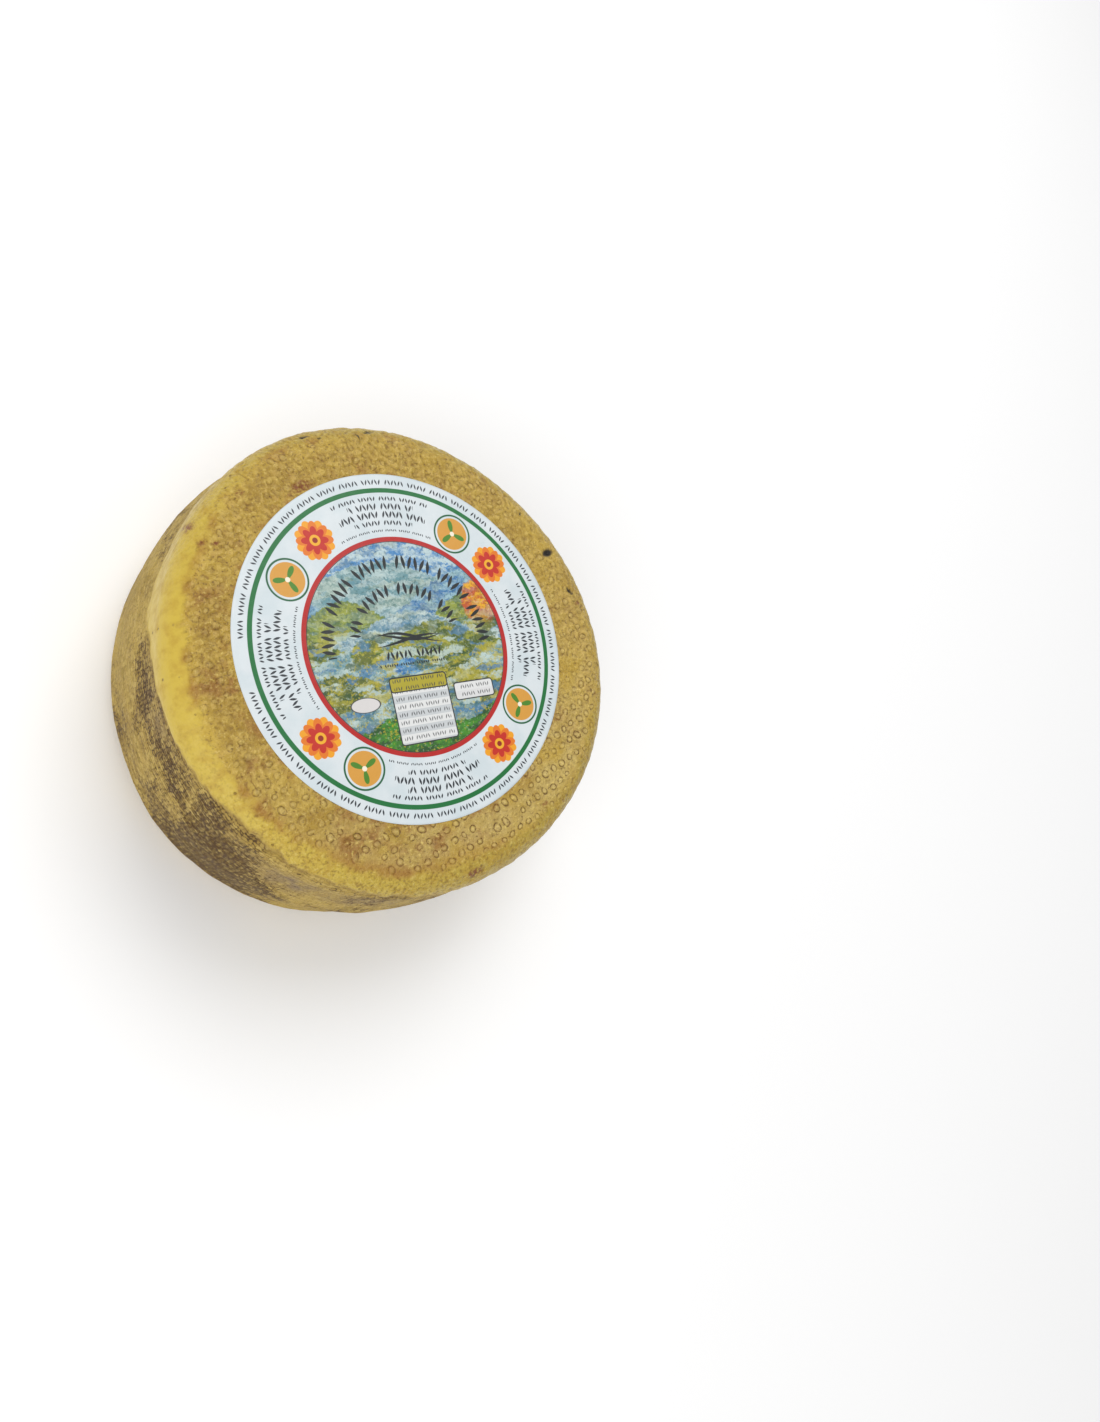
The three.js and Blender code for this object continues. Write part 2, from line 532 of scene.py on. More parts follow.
def add(tree, kind, *values, sockets=None, **settings):
    """Adds a node. A second word in kind is the node's operation, and a Mix mixes colours.
    values go to its open sockets in order, and sockets holds others by name. A node or a socket
    is linked, a hex colour is turned to linear, and anything else is set."""
    kind, _, operation = kind.partition(" ")
    made = tree.nodes.new("ShaderNode" + kind)
    if operation:
        made.operation = operation
    if kind == "Mix":
        made.data_type = "RGBA"
    for name, setting in settings.items():
        setattr(made, name, setting)
    pairs = list(zip([socket for socket in made.inputs if socket.enabled], values))
    pairs += [(made.inputs[name], value) for name, value in (sockets or {}).items()]
    for socket, value in pairs:
        if isinstance(value, bpy.types.Node):
            value = next(output for output in value.outputs if output.enabled)
        if isinstance(value, bpy.types.NodeSocket):
            tree.links.new(value, socket)
        else:
            socket.default_value = linear(value) if isinstance(value, str) else value
    return made


def new_material(name, piece):
    """Puts an empty node material on a piece, and returns the function that adds nodes to it."""
    material = bpy.data.materials.new(name)
    material.use_nodes = True
    material.node_tree.nodes.clear()
    piece.data.materials.append(material)
    return partial(add, material.node_tree)


def cell_place(node, rows, pitch):
    """In a lattice of cells: each cell's own number, as cell_chance works it out, and how far a
    point is from its cell's middle, in the pitch's units."""
    wave = node("VectorMath DOT_PRODUCT", node("VectorMath FLOOR", rows), (*CELL_WAVE, 0))
    chance = node("Math FRACT", node("Math MULTIPLY", node("Math SINE", wave), CELL_SCALE))
    within = node("VectorMath SUBTRACT", node("VectorMath FRACTION", rows), (0.5, 0.5, 0))
    return chance, node("VectorMath LENGTH", node("VectorMath MULTIPLY", within, (*pitch, 0)))


def nub_pattern(node):
    """The dome and the moat of each nub, where nub_relief has them, on the nub_rows map."""
    chance, distance = cell_place(node, node("UVMap", uv_map="nub_rows"), NUB_PITCH)
    least, more = NUB_SHARES
    radius = node("Math MULTIPLY_ADD", chance, more * NUB_RADIUS, least * NUB_RADIUS)
    q = node("Math DIVIDE", distance, radius)
    there = node("MapRange", chance, *NUB_LEAST, **STEP)
    dome = node("Math MULTIPLY", node("MapRange", q, 1.0, 0.4, **STEP), there)
    off = node("Math ABSOLUTE", node("Math SUBTRACT", q, MOAT_PLACE))
    moat = node("Math MULTIPLY", node("MapRange", off, 0.32, 0.04, **STEP), there)
    return dome, moat


def net_pattern(node, mm):
    """How deep a point lies between the net's beads: 0 on a bead and 1 between them. Beads lie
    lengthwise around the wheel, shaken out of line, and each has its own size."""
    shake = node("TexNoise", mm, 1 / 4, 3, 0.7).outputs["Color"]
    shake = node("VectorMath SUBTRACT", shake, (0.5, 0.5, 0.5))
    rows = node("VectorMath MULTIPLY_ADD", shake, (2.8, 2.8, 0), node("UVMap", uv_map="net_rows"))
    far = 1000  # rows, more than there are
    rows = node("VectorMath WRAP", rows, (NET_CELLS, far, 1), (0, -far, 0))
    chance, distance = cell_place(node, rows, (1.8, 2.1))
    reach = node("Math SUBTRACT", distance, node("Math MULTIPLY", chance, 0.4))
    return node("MapRange", reach, 0.3, 1.0, **STEP), chance


def face_colour(node, marks, grains, dome, moat):
    """The faces: golden ochre, beige where the curd is dry, brown with painted shade in the creases of
    the curd and in the moats, and made pale on the tops of lumps and nubs by a painted highlight.
    Gives the crowns and moats as well."""
    colour = node("Mix", node("MapRange", grains["broad"], 0.35, 0.65, **STEP), "a4832c", "b89838")
    beige = node("MapRange", grains["medium"], 0.3, 0.7, 0.5, 1.0, **STEP)
    colour = node("Mix", node("Math MULTIPLY", marks["pale"], beige), colour, "c4ad68")
    colour = node("Mix", node("Math MULTIPLY", marks["golden"], 0.8), colour, "c5a53c")
    # Brown, with painted shade: darker in the curd's creases, where the relief dips.
    creases = node("Math MULTIPLY", marks["crumbs"], node("MapRange", marks["curd"], 0.42, 0.0, **STEP))
    patchy = node("MapRange", grains["medium"], 0.42, 0.6, 0.05, 0.75, **STEP)
    creases = node("Math MULTIPLY", creases, patchy)
    # Painted highlight: paler on the curd's tops, where the relief rises.
    tops = node("Math MULTIPLY", marks["crumbs"], node("MapRange", marks["curd"], 0.55, 1.0, **STEP))
    colour = node("Mix", node("Math MULTIPLY", tops, 0.45), colour, "cfae5c")
    colour = node("Mix", creases, colour, "7b571c")
    # Painted highlight: paler on the nubs' crowns.
    crowns = node("Math MULTIPLY", dome, marks["nubs"])
    colour = node("Mix", node("Math MULTIPLY", crowns, 0.6), colour, "d8c078")
    # Brown, with painted shade: darker in the nubs' moats.
    moats = node("Math MULTIPLY", moat, marks["nubs"])
    broken = node("MapRange", grains["fine"], 0.66, 0.46, 0.5, 1, **STEP)
    colour = node("Mix", node("Math MULTIPLY", moats, broken), colour, "64481a")
    return face_grain(node, marks, grains, colour), crowns, moats


def face_grain(node, marks, grains, colour):
    """Over the faces' colour: light and dark crumbs where there are few nubs, brown stains, pale
    flecks that are painted glints, and dark specks all over."""
    few_nubs = node("Math MULTIPLY_ADD", marks["nubs"], -0.75, 1.0)
    few_nubs = node("Math MULTIPLY_ADD", marks["golden"], -0.35, few_nubs)
    light = node("MapRange", grains["crumb"], 0.52, 0.66, 0, 0.5, **STEP)
    colour = node("Mix", node("Math MULTIPLY", light, few_nubs), colour, "d2b458")
    dark = node("MapRange", grains["crumb"], 0.48, 0.34, 0, 0.45, **STEP)
    colour = node("Mix", node("Math MULTIPLY", dark, few_nubs), colour, "7c5e1d")
    stain = node("MapRange", grains["medium"], 0.38, 0.58, 0.1, 0.85, **STEP)
    colour = node("Mix", node("Math MULTIPLY", marks["brown"], stain), colour, "94672a")
    # Painted glints: pale flecks on the highs of the fine grain.
    painted_glints = node("MapRange", grains["fine"], 0.54, 0.74, **STEP)
    painted_glints = node("Math MULTIPLY", painted_glints, node("Math MULTIPLY_ADD", marks["pale"], 0.3, 0.6))
    colour = node("Mix", painted_glints, colour, "dcc26c")
    specks = node("MapRange", grains["fine"], 0.45, 0.28, 0, 0.75, **STEP)
    return node("Mix", specks, colour, "66481a")


def band_colour(node, marks, grains, mm):
    """The smooth edge: clear yellow at the left and olive at the right, with deeper patches and a
    few small brown pits, and with specks, and pale flecks that are painted glints, where it is dry."""
    colour = node("Mix", node("MapRange", marks["left"], 0.5, 0.95), "b2983c", "c8ad42")
    deep = node("MapRange", grains["medium"], 0.42, 0.7, 0, 0.6, **STEP)
    colour = node("Mix", deep, colour, "b08c2c")
    dry = node("Math SUBTRACT", 1.0, marks["satiny"])
    specks = node("MapRange", grains["fine"], 0.5, 0.35, 0, 0.6, **STEP)
    colour = node("Mix", node("Math MULTIPLY", specks, dry), colour, "7c5c1c")
    # Painted glints: pale flecks where the band is dry.
    painted_glints = node("MapRange", grains["fine"], 0.54, 0.7, 0, 0.55, **STEP)
    colour = node("Mix", node("Math MULTIPLY", painted_glints, dry), colour, "d8c470")
    cells = node("TexVoronoi", mm, 1 / 4.2)
    chosen = node("MapRange", node("SeparateXYZ", cells.outputs["Color"]), 0.62, 0.66, **STEP)
    pit = node("Math MULTIPLY", node("MapRange", cells, 0.17, 0.06, **STEP), chosen)
    return node("Mix", node("Math MULTIPLY", pit, 0.75), colour, "7a5a1e"), pit


def side_colour(node, marks, grains, groove, chance):
    """The side: olive beige, with beads made pale by a painted highlight, and dirt, old mould and
    painted shade between the beads in broken strokes, thickest where the wheel lay on its rack."""
    colour = node("Mix", node("MapRange", grains["broad"], 0.35, 0.65, **STEP), "aa8c3c", "bea04c")
    olive = node("MapRange", grains["medium"], 0.5, 0.7, 0, 0.6, **STEP)
    colour = node("Mix", olive, colour, "8f7832")
    colour = node("Mix", node("Math MULTIPLY", marks["grime"], 0.8), colour, "7a5a1e")
    # Painted highlight: the net's raised beads are made paler.
    bead = node("Math MULTIPLY", node("Math SUBTRACT", 1.0, groove), node("MapRange", chance, 0.3, 1))
    bead = node("Math MULTIPLY", node("Math MULTIPLY", bead, marks["net"]), 0.6)
    colour = node("Mix", bead, colour, "cfb464")
    # Dirt and painted shade: darker in the net's grooves, more so with the fine grain and the grime.
    dirt_and_groove_shade = node("Math MULTIPLY_ADD", groove, 0.5, node("Math MULTIPLY", grains["fine"], 1.3))
    dirt_and_groove_shade = node("Math MULTIPLY_ADD", marks["grime"], 0.6, dirt_and_groove_shade)
    dirt_and_groove_shade = node("Math MULTIPLY", node("MapRange", dirt_and_groove_shade, 1.05, 1.55, 0, 0.95, **STEP), marks["net"])
    mauve = node("MapRange", grains["medium"], 0.3, 0.6, 0.3, 0.8, **STEP)
    mauve = node("Math MULTIPLY", marks["mauve"], mauve)
    colour = node("Mix", mauve, colour, "857260")
    return node("Mix", dirt_and_groove_shade, colour, "4a320e")


def rind_relief(node, marks, grains, crowns, moats, groove, pit):
    """The fine relief of the rind, in millimetres."""
    height = node("Math MULTIPLY_ADD", moats, -0.1, node("Math MULTIPLY", crowns, 0.12))
    rough = node("Math MULTIPLY_ADD", marks["satiny"], -0.85, 1.0)
    height = node("Math MULTIPLY_ADD", node("Math MULTIPLY", grains["fine"], rough), 0.75, height)
    height = node("Math MULTIPLY_ADD", node("Math MULTIPLY", grains["crumb"], rough), 1.0, height)
    height = node("Math MULTIPLY_ADD", node("Math MULTIPLY", grains["grit"], rough), 0.16, height)
    height = node("Math MULTIPLY_ADD", node("Math MULTIPLY", groove, marks["net"]), -0.32, height)
    height = node("Math MULTIPLY_ADD", node("Math MULTIPLY", pit, marks["band"]), -0.35, height)
    return node("Bump", sockets={"Height": height, "Distance": MM, "Strength": 1.0})


MARKS = ("nubs", "crumbs", "curd", "net", "band", "satiny", "side", "left", "pale", "golden", "grime",
         "mauve", "crease", "brown", "fringe", "pits", "crusts")


def finish_rind(piece):
    """Cheese rind, cured in its mould and cloth and rubbed with oil. That gives the eye a satin,
    mottled ochre skin, paler on the nubs by a painted highlight and brown with painted shade in
    their moats, a smooth yellow edge, and an olive side with painted highlights on the net's beads
    and dirt and painted shade in its grooves. IOR 1.45, as fat has."""
    node = new_material("oiled_cheese_rind", piece)
    mm = node("VectorMath SCALE", node("TexCoord").outputs["Object"], sockets={"Scale": 1 / MM})
    marks = {name: node("Attribute", attribute_name=name).outputs["Fac"] for name in MARKS}
    grains = {name: node("TexNoise", mm, 1 / size, 3, 0.6)
              for name, size in (("broad", 22), ("medium", 5), ("crumb", 3.0), ("fine", 1.4), ("grit", 0.6))}
    dome, moat = nub_pattern(node)
    groove, chance = net_pattern(node, mm)
    colour, crowns, moats = face_colour(node, marks, grains, dome, moat)
    edge, pit = band_colour(node, marks, grains, mm)
    colour = node("Mix", marks["band"], colour, edge)
    colour = node("Mix", node("Math MULTIPLY", marks["fringe"], 0.6), colour, "98661c")
    side = side_colour(node, marks, grains, groove, chance)
    colour = node("Mix", marks["side"], colour, side)
    colour = node("Mix", node("Math MULTIPLY", marks["crease"], 0.5), colour, "70523a")
    crust = node("MapRange", grains["fine"], 0.62, 0.4, 0.2, 1, **STEP)
    crust = node("Math MULTIPLY", marks["crusts"], crust)
    colour = node("Mix", crust, colour, "7a431a")
    # Painted shade: the pits are made near black.
    colour = node("Mix", marks["pits"], colour, "1d1712")
    gloss = node("MapRange", grains["medium"], 0.3, 0.7, 0.3, 0.5)
    gloss = node("Math MULTIPLY_ADD", marks["net"], 0.35, gloss)
    skin = node("BsdfPrincipled", sockets={
        "Base Color": colour, "Roughness": gloss,
        "IOR": 1.45, "Normal": rind_relief(node, marks, grains, crowns, moats, groove, pit)})
    node("OutputMaterial", skin)


# ---- The label's print ----


def grain_row(node, along_row, up, pitch, height, width, lean):
    """A running border of grains, pointed at both ends and leaning to and fro like an ear of
    wheat, with every seventh left out. along_row and up are in millimetres from its middle."""
    phase = node("Math DIVIDE", along_row, pitch)
    number = node("Math FLOOR", phase)
    side = node("Math MULTIPLY_ADD", node("Math FLOORED_MODULO", number, 2.0), 2 * lean, -lean)
    across = node("Math SUBTRACT", node("Math FRACT", phase), 0.5)
    across = node("Math MULTIPLY_ADD", across, pitch, node("Math MULTIPLY", side, up))
    bow = node("Math MULTIPLY", node("Math MULTIPLY", up, up), -2 * width / height**2)
    bow = node("Math ADD", bow, width / 2)
    inside = node("Math SUBTRACT", bow, node("Math ABSOLUTE", across))
    kept = node("Math GREATER_THAN", node("Math FLOORED_MODULO", number, 7.0), 0.5)
    return node("Math MULTIPLY", node("MapRange", inside, -0.06, 0.06, **STEP), kept)


def local(node, flat, x, y):
    """Coordinates about a point of the print: along, up, distance and direction."""
    moved = node("VectorMath SUBTRACT", flat, (x, y, 0))
    parts = node("SeparateXYZ", moved)
    turn = node("Math ARCTAN2", parts.outputs["Y"], parts.outputs["X"])
    return parts.outputs["X"], parts.outputs["Y"], node("VectorMath LENGTH", moved), turn


def petals(node, distance, turn, number, tip, notch, start=0.0):
    """Petals: inside the radius notch + (tip - notch) |cos(number/2 turn + start)|."""
    wave = node("Math COSINE", node("Math MULTIPLY_ADD", turn, number / 2, start))
    edge = node("Math MULTIPLY_ADD", node("Math ABSOLUTE", wave), tip - notch, notch)
    return node("MapRange", node("Math SUBTRACT", edge, distance), -0.08, 0.08, **STEP)


def flower(node, flat, colour, x, y):
    """A flower: golden petals, orange and red ones in front of them, and a golden eye with a dark
    middle."""
    _, _, distance, turn = local(node, flat, x, y)
    for ink, mask in (("e79c14", petals(node, distance, turn, 8, 8.2, 5.6, math.pi / 2)),
                      ("dc7414", petals(node, distance, turn, 8, 7.7, 4.8)),
                      ("bd2410", petals(node, distance, turn, 8, 5.6, 3.6)),
                      ("e8a81e", node("MapRange", distance, 2.3, 2.1, **STEP)),
                      ("8e1c0c", node("MapRange", distance, 1.2, 1.0, **STEP))):
        colour = node("Mix", mask, colour, ink)
    return colour


def leaf_disc(node, flat, colour, x, y):
    """A three-leaved sprig on a straw-coloured disc in a green ring."""
    _, _, distance, turn = local(node, flat, x, y)
    ring = node("Math ABSOLUTE", node("Math SUBTRACT", distance, 8.0))
    wave = node("Math COSINE", node("Math MULTIPLY_ADD", turn, 3.0, math.pi / 2))
    edge = node("Math MULTIPLY", node("Math MAXIMUM", wave, 0.0), 5.9)
    leaf = node("Math SUBTRACT", edge, distance)
    for ink, mask in (("0f5a34", node("MapRange", ring, 0.46, 0.3, **STEP)),
                      ("d0963a", node("MapRange", distance, 6.9, 6.7, **STEP)),
                      ("467f1c", node("MapRange", leaf, -0.05, 0.15, **STEP)),
                      ("efe6d0", node("MapRange", distance, 1.1, 0.9, **STEP))):
        colour = node("Mix", mask, colour, ink)
    return colour


def hill(node, place, colour, strokes, height, swell, wave, start, inks):
    """Land below the line height + swell sin(wave x + start), painted in two inks."""
    line = node("Math SINE", node("Math MULTIPLY_ADD", place["X"], wave, start))
    line = node("Math MULTIPLY_ADD", line, swell, height)
    below = node("MapRange", node("Math SUBTRACT", line, place["Y"]), -0.35, 0.35, **STEP)
    paint = node("Mix", node("MapRange", strokes, 0.4, 0.6, **STEP), *inks)
    return node("Mix", below, colour, paint)


HILLS = (  # height, swell, wave, start and two inks, back to front
    (29, 6, 0.075, 2.2, ("a9c0c0", "5f8c94")), (21, 10, 0.065, -0.6, ("2f6da2", "8fb4c0")),
    (14, 6, 0.11, 4.4, ("8f9a3c", "4c6a38")), (9, 5, 0.085, 1.4, ("b9cac6", "5a869c")),
    (4, 5, 0.1, 0.4, ("8c9230", "3c5624")), (-4, 5, 0.08, 3.3, ("a6bcb8", "5e8a94")),
    (-12, 4, 0.12, 5.4, ("928f2a", "35501e")), (-20, 5, 0.07, 1.8, ("86a29e", "45727e")))
SPOTS = (  # x, y, half width, half height and two inks: a pool, an autumn tree and a bush
    (-2, -8, 10, 3.2, ("2f6ea8", "6fa4c4")), (36, 15, 9, 10, ("e0a416", "b9501c")),
    (-19, -1, 7, 5, ("aaa22e", "5d7a26")))


def painting(node, flat):
    """A brushed landscape of rolling hills: sky, blue hills, pale slopes, fields, a pool, bushes
    and an autumn tree. Its edges are shaken by noise."""
    shake = node("TexNoise", flat, 1 / 2.2, 3, 0.65).outputs["Color"]
    shake = node("VectorMath SUBTRACT", shake, (0.5, 0.5, 0.5))
    painted = node("VectorMath MULTIPLY_ADD", shake, (4.5, 4.5, 0), flat)
    place = node("SeparateXYZ", painted).outputs
    brushed = node("Mapping", painted, sockets={"Rotation": (0, 0, 0.5), "Scale": (0.12, 0.34, 1)})
    strokes = node("TexNoise", brushed, 1.0, 4, 0.7)
    colour = node("Mix", node("MapRange", strokes, 0.42, 0.58, **STEP), "3f80b8", "b4cacf")
    for land in HILLS:
        colour = hill(node, place, colour, strokes, *land)
    for x, y, wide, high, inks in SPOTS:
        spot = node("VectorMath DIVIDE", node("VectorMath SUBTRACT", painted, (x, y, 0)), (wide, high, 1))
        inside = node("MapRange", node("VectorMath LENGTH", spot), 1.05, 0.9, **STEP)
        paint = node("Mix", node("MapRange", strokes, 0.42, 0.56, **STEP), *inks)
        colour = node("Mix", inside, colour, paint)
    return paint_dabs(node, flat, place, brushed, strokes, colour)


def paint_dabs(node, flat, place, brushed, strokes, colour):
    """The painting's last coats: long daubs over the lower half, the green foreground, then small
    light and dark dabs all over and sunny ones in the fields."""
    daubs = node("TexNoise", brushed, 0.6, 3, 0.5).outputs["Color"]
    daubs = node("SeparateXYZ", daubs).outputs
    lower = node("MapRange", place["Y"], 14, 2, 0.15, 0.75, **STEP)
    for name, low, high, ink in (("X", 0.52, 0.58, "b9ccc6"), ("Y", 0.54, 0.6, "a8a030"),
                                 ("Z", 0.55, 0.6, "34501e"), ("X", 0.44, 0.39, "3f76a0")):
        daub = node("Math MULTIPLY", node("MapRange", daubs[name], low, high, **STEP), lower)
        colour = node("Mix", daub, colour, ink)
    colour = hill(node, place, colour, strokes, -29, 3.5, 0.13, 2.6, ("3f861c", "204d1c"))
    dabs = node("TexNoise", flat, 1 / 1.3, 2, 0.6)
    light = node("MapRange", dabs, 0.55, 0.7, 0, 0.25, **STEP)
    colour = node("Mix", light, colour, "dfe4d6")
    dark = node("MapRange", dabs, 0.47, 0.32, 0, 0.42, **STEP)
    colour = node("Mix", dark, colour, "1c3a34")
    sunny = node("SeparateXYZ", dabs.outputs["Color"]).outputs["Y"]
    sunny = node("MapRange", sunny, 0.56, 0.66, 0, 0.6, **STEP)
    sunny = node("Math MULTIPLY", sunny, node("MapRange", place["Y"], 4, -8, **STEP))
    return node("Mix", sunny, colour, "b8a81e")


def panel(node, flat, colour, x, y, wide, high, inks):
    """A box with rounded corners and striped rows of grains for entries. inks are those of its
    even and odd rows."""
    corner = 1.2
    across, rise, _, _ = local(node, flat, x, y)
    over_x = node("Math SUBTRACT", node("Math ABSOLUTE", across), wide / 2 - corner)
    over_y = node("Math SUBTRACT", node("Math ABSOLUTE", rise), high / 2 - corner)
    over = node("VectorMath MAXIMUM", node("CombineXYZ", over_x, over_y), (0, 0, 0))
    off = node("VectorMath LENGTH", over)
    stripe = node("Math DIVIDE", rise, ENTRY_PITCH)
    odd = node("Math FLOORED_MODULO", node("Math FLOOR", stripe), 2.0)
    paper = node("Mix", odd, *inks)
    row = node("Math SUBTRACT", node("Math FRACT", stripe), 0.5)
    row = node("Math MULTIPLY", row, ENTRY_PITCH)
    entry = grain_row(node, across, row, 1.05, 1.8, 0.5, 0.25)
    kept = node("Math LESS_THAN", node("Math ABSOLUTE", across), wide / 2 - 1.4)
    kept = node("Math MULTIPLY", node("Math MULTIPLY", entry, kept), 0.85)
    paper = node("Mix", kept, paper, "34373a")
    colour = node("Mix", node("MapRange", off, corner + 0.05, corner - 0.1, **STEP), colour, paper)
    edge = node("Math ABSOLUTE", node("Math SUBTRACT", off, corner))
    return node("Mix", node("MapRange", edge, 0.34, 0.14, **STEP), colour, "22272a")


def oval(node, flat, colour, x, y, wide, high):
    """A plain oval in a thin line, with its half width and half height."""
    moved = node("VectorMath DIVIDE", node("VectorMath SUBTRACT", flat, (x, y, 0)), (wide, high, 1))
    off = node("VectorMath LENGTH", moved)
    colour = node("Mix", node("MapRange", off, 1.0, 0.97, **STEP), colour, "d2cfcd")
    edge = node("Math ABSOLUTE", node("Math SUBTRACT", off, 0.97))
    return node("Mix", node("MapRange", edge, 0.07, 0.02, **STEP), colour, "3a3c3e")


MARGIN_ROWS = (  # radius, half span in degrees, pitch, height and width of the grains
    (60.4, 20.5, 1.3, 1.9, 0.72), (57.2, 14.5, 1.55, 2.9, 0.88), (53.8, 20.5, 1.55, 3.0, 0.92),
    (50.4, 14.5, 1.35, 2.2, 0.76), (47.2, 24.5, 0.85, 1.1, 0.46))
PICTURE_ROWS = (  # radius, half span and middle in degrees, pitch and height
    (34.2, 94, 89, 2.75, 5.9), (23.3, 73, 93, 2.8, 5.2))
SHORT_ROWS = ((-3.2, 13, 1.9, 3.6), (-7.0, 15, 1.0, 1.3))  # y, half length, pitch and height
STEMS = ((2.2, 1.6, 0.4), (4.2, -1.9, 0.9), (3.0, 2.6, 2.6))  # height, swell and start of each wave
PANELS = (  # x, y, width, height and the papers of even and odd rows: a table, its head and a note
    (0, -25.3, 25, 26.5, ("dadbda", "c2c6c8")), (0, -14.9, 25, 5.6, ("a89c26", "a89c26")),
    (24.3, -20.8, 18, 7, ("dadbda", "d4d4d4")))
ENTRY_PITCH = 3.1  # from one row of a panel to the next
RINGS = (  # radius, width and ink
    (63.8, 1.9, "066a30"), (43.6, 1.9, "b0140f"), (42.5, 0.3, "3c1a1a"))
RIM_ROW_RADIUS = 67.2  # of the row of grains that runs nearly all the way around
FLOWER_PLACE = (44.6, 30.3)
LEAF_DISC_PLACE = (30.1, 44.3)
PICTURE_RADIUS = 42.7
MARGIN_INK = "2b3036"
PICTURE_INK = "121a1c"


def margin_print(node, colour, r, turn):
    """Four blocks of grain rows, each a quarter turn from the next, a row near the rim, and a
    flower and a leaf disc between each block and the next."""
    quarter = node("Math WRAP", turn, math.pi / 4, -math.pi / 4)
    for radius, half_span, pitch, height, width in MARGIN_ROWS:
        grains = grain_row(node, node("Math MULTIPLY", quarter, radius), node("Math SUBTRACT", r, radius),
                           pitch, height, width, 0.3)
        kept = node("Math LESS_THAN", node("Math ABSOLUTE", quarter), math.radians(half_span))
        colour = node("Mix", node("Math MULTIPLY", grains, kept), colour, MARGIN_INK)
    grains = grain_row(node, node("Math MULTIPLY", turn, RIM_ROW_RADIUS),
                       node("Math SUBTRACT", r, RIM_ROW_RADIUS), 1.45, 2.3, 0.72, 0.3)
    kept = node("Math LESS_THAN", node("Math ABSOLUTE", turn), math.radians(172))
    colour = node("Mix", node("Math MULTIPLY", grains, kept), colour, MARGIN_INK)
    fold = node("Math FLOORED_MODULO", turn, math.pi / 2)
    fold_x = node("Math MULTIPLY", node("Math COSINE", fold), r)
    fold_y = node("Math MULTIPLY", node("Math SINE", fold), r)
    folded = node("CombineXYZ", fold_x, fold_y)
    colour = flower(node, folded, colour, *FLOWER_PLACE)
    return leaf_disc(node, folded, colour, *LEAF_DISC_PLACE)


def picture_print(node, flat, r, turn):
    """The round picture: the painting, and over it two arcs of large grains, two short rows of
    grains under three crossing stems, a table, a note and an oval."""
    colour = painting(node, flat)
    place = node("SeparateXYZ", flat).outputs
    for radius, half_span, middle, pitch, height in PICTURE_ROWS:
        about = node("Math SUBTRACT", turn, math.radians(middle))
        about = node("Math WRAP", about, math.pi, -math.pi)
        grains = grain_row(node, node("Math MULTIPLY", about, radius), node("Math SUBTRACT", r, radius),
                           pitch, height, 1.5, 0.2)
        kept = node("Math LESS_THAN", node("Math ABSOLUTE", about), math.radians(half_span))
        colour = node("Mix", node("Math MULTIPLY", grains, kept), colour, PICTURE_INK)
    for y, half_length, pitch, height in SHORT_ROWS:
        grains = grain_row(node, place["X"], node("Math SUBTRACT", place["Y"], y), pitch, height,
                           0.55 * pitch, 0.25)
        kept = node("Math LESS_THAN", node("Math ABSOLUTE", place["X"]), half_length)
        colour = node("Mix", node("Math MULTIPLY", grains, kept), colour, PICTURE_INK)
    for height, swell, start in STEMS:
        line = node("Math SINE", node("Math MULTIPLY_ADD", place["X"], 0.13, start))
        off = node("Math SUBTRACT", place["Y"], node("Math MULTIPLY_ADD", line, swell, height))
        width = node("MapRange", node("Math ABSOLUTE", place["X"]), 4, 16, 0.65, 0)
        stem = node("Math SUBTRACT", width, node("Math ABSOLUTE", off))
        colour = node("Mix", node("MapRange", stem, -0.05, 0.15, **STEP), colour, PICTURE_INK)
    for box in PANELS:
        colour = panel(node, flat, colour, *box)
    return oval(node, flat, colour, -24.2, -20.9, 6.3, 2.9)


def finish_label(piece):
    """Coated food paper, offset-printed: a bluish white with a soft gloss, flat opaque inks with
    crisp edges, and faint fibres and cockling in the paper. IOR 1.5, as clay coating has."""
    node = new_material("coated_label_paper", piece)
    print_place = node("Mapping", node("TexCoord").outputs["Object"], sockets={
        "Location": (LABEL_X * MM, LABEL_Y * MM, WHEEL_HEIGHT * MM),
        "Rotation": (0, 0, PRINT_TURN), "Scale": (MM, MM, MM)}, vector_type="TEXTURE")
    flat = node("VectorMath MULTIPLY", print_place, (1, 1, 0))
    _, _, r, turn = local(node, flat, 0, 0)
    mottle = node("TexNoise", flat, 1 / 14, 3, 0.5)
    colour = node("Mix", node("MapRange", mottle, 0.35, 0.65, **STEP), "c9d4d8", "d4dbde")
    colour = margin_print(node, colour, r, turn)
    picture = picture_print(node, flat, r, turn)
    inside = node("MapRange", r, PICTURE_RADIUS + 0.05, PICTURE_RADIUS - 0.1, **STEP)
    colour = node("Mix", inside, colour, picture)
    for middle, width, ink in RINGS:
        off = node("Math ABSOLUTE", node("Math SUBTRACT", r, middle))
        ring = node("MapRange", off, width / 2 + 0.08, width / 2 - 0.08, **STEP)
        colour = node("Mix", ring, colour, ink)
    fibres = node("TexNoise", flat, 1 / 0.5, 2, 0.6)
    relief = node("Math MULTIPLY_ADD", fibres, 0.02, node("Math MULTIPLY", mottle, 0.4))
    skin = node("BsdfPrincipled", sockets={
        "Base Color": colour, "Roughness": 0.42, "IOR": 1.5,
        "Normal": node("Bump", sockets={"Height": relief, "Distance": MM, "Strength": 1.0})})
    node("OutputMaterial", skin)


# ---------------------------------------------------------------------------------------------
# Camera, floor and light
# ---------------------------------------------------------------------------------------------

CAMERA_PLACE = (-200.7, -39.1, 356.0)  # from the middle of the upper face
CAMERA_DIP = 54.5  # how far down it looks, in degrees
CAMERA_ROLL = 71.35
CAMERA_LENS = 26.11  # with a sensor 36 mm wide


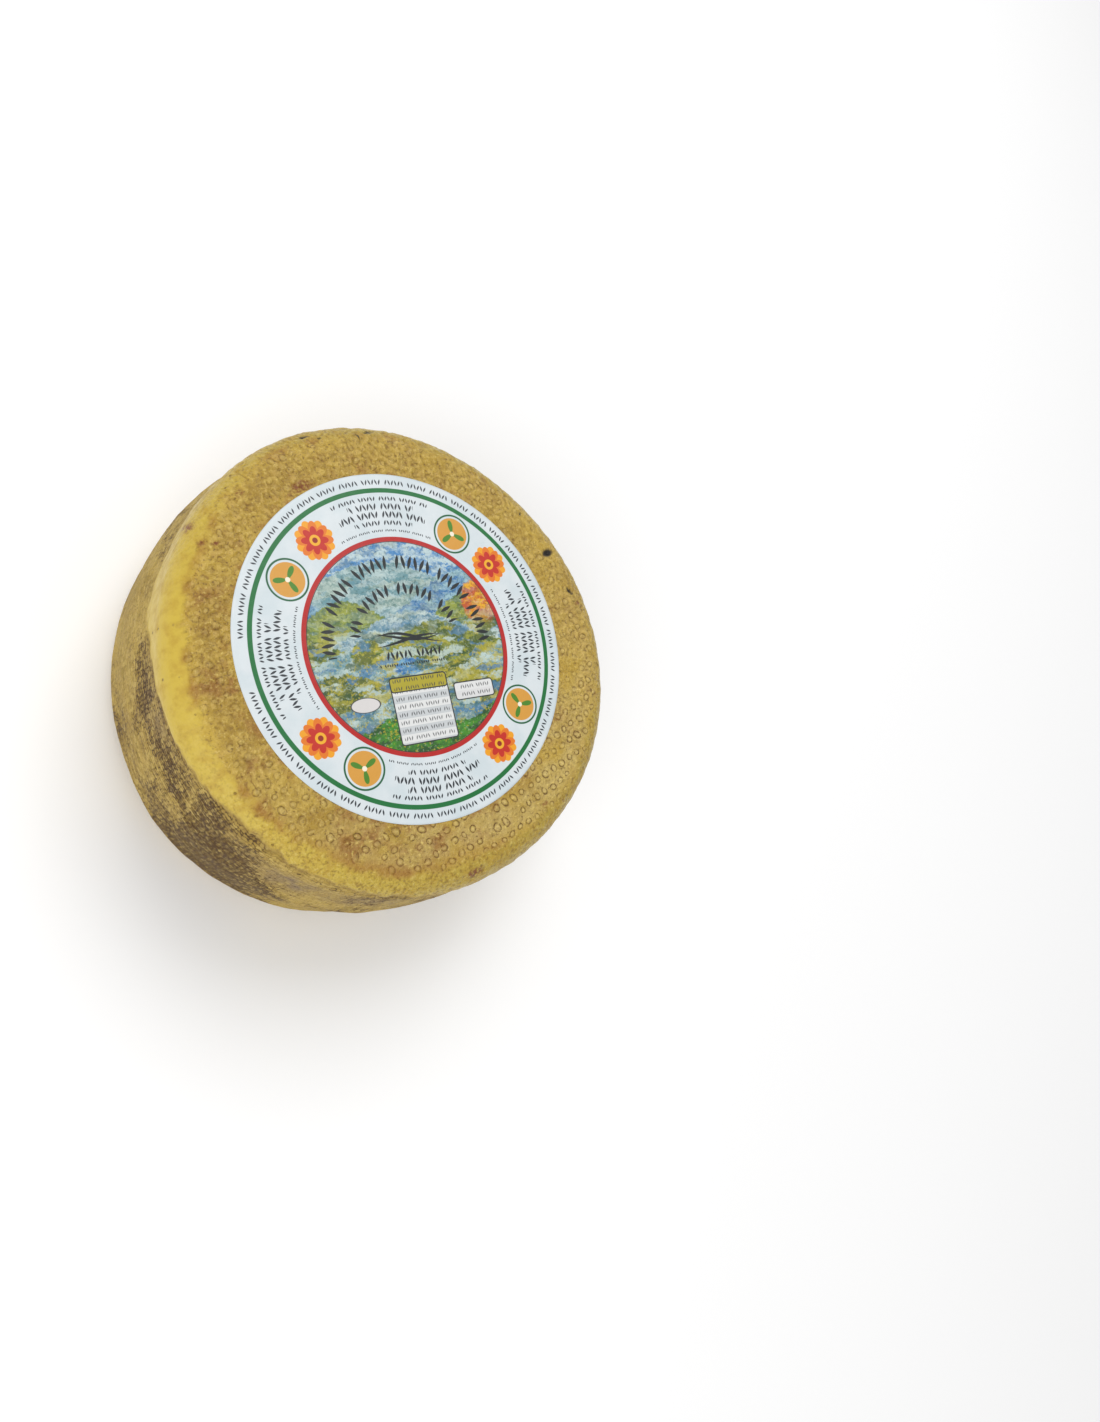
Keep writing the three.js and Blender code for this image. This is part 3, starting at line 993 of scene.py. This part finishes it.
def set_camera():
    """Looks along +X and down at the wheel, tipped well over to one side."""
    data = bpy.data.cameras.new("camera")
    data.lens, data.sensor_width = CAMERA_LENS, 36
    camera = bpy.data.objects.new("camera", data)
    bpy.context.scene.collection.objects.link(camera)
    heading = Matrix.Rotation(math.radians(-90), 4, "Z")
    tilt = Matrix.Rotation(math.radians(90 - CAMERA_DIP), 4, "X")
    roll = Matrix.Rotation(math.radians(CAMERA_ROLL), 4, "Z")
    place = Vector(CAMERA_PLACE) + Vector((0, 0, WHEEL_HEIGHT))
    camera.matrix_world = Matrix.Translation(place * MM) @ heading @ tilt @ roll
    bpy.context.scene.camera = camera


def set_floor():
    """A plain pale floor that runs well past the view."""
    half = 6.0
    mesh = bpy.data.meshes.new("floor")
    mesh.from_pydata([(-half, -half, 0), (half, -half, 0), (half, half, 0), (-half, half, 0)], [],
                     [(0, 1, 2, 3)])
    floor = bpy.data.objects.new("floor", mesh)
    bpy.context.scene.collection.objects.link(floor)
    node = new_material("matt_white_floor", floor)
    node("OutputMaterial", node("BsdfPrincipled", sockets={"Base Color": "fcfcfc", "Roughness": 0.9}))


def add_light(name, place, power, size):
    """A square soft light that looks at the wheel."""
    data = bpy.data.lights.new(name, "AREA")
    data.energy, data.size = power, size
    light = bpy.data.objects.new(name, data)
    bpy.context.scene.collection.objects.link(light)
    wheel_middle = Vector((0, 0, 0.05))
    turn = (Vector(place) - wheel_middle).to_track_quat("Z", "Y")
    light.matrix_world = Matrix.Translation(place) @ turn.to_matrix().to_4x4()


def set_light():
    """One large soft light from above, another from the camera's side and a white room."""
    world = bpy.data.worlds.new("white_room")
    world.use_nodes = True
    background = world.node_tree.nodes["Background"]
    background.inputs["Color"].default_value = (1, 1, 1, 1)
    background.inputs["Strength"].default_value = 0.55
    bpy.context.scene.world = world
    add_light("key_light", (0.4, 0.9, 1.5), 15, 1.2)
    add_light("fill_light", (-1.3, -0.6, 1.0), 14, 1.5)
    bpy.context.scene.view_settings.view_transform = "Standard"


# ---------------------------------------------------------------------------------------------
# Making it all
# ---------------------------------------------------------------------------------------------

set_camera()
set_floor()
set_light()

rind = make_piece("rind", *rind_shape())
finish_rind(rind)
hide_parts("cheese_wheel")
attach(rind, "root")

label = make_piece("printed_label", *label_shape())
finish_label(label)
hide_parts("paper_label")
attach(label, "root")
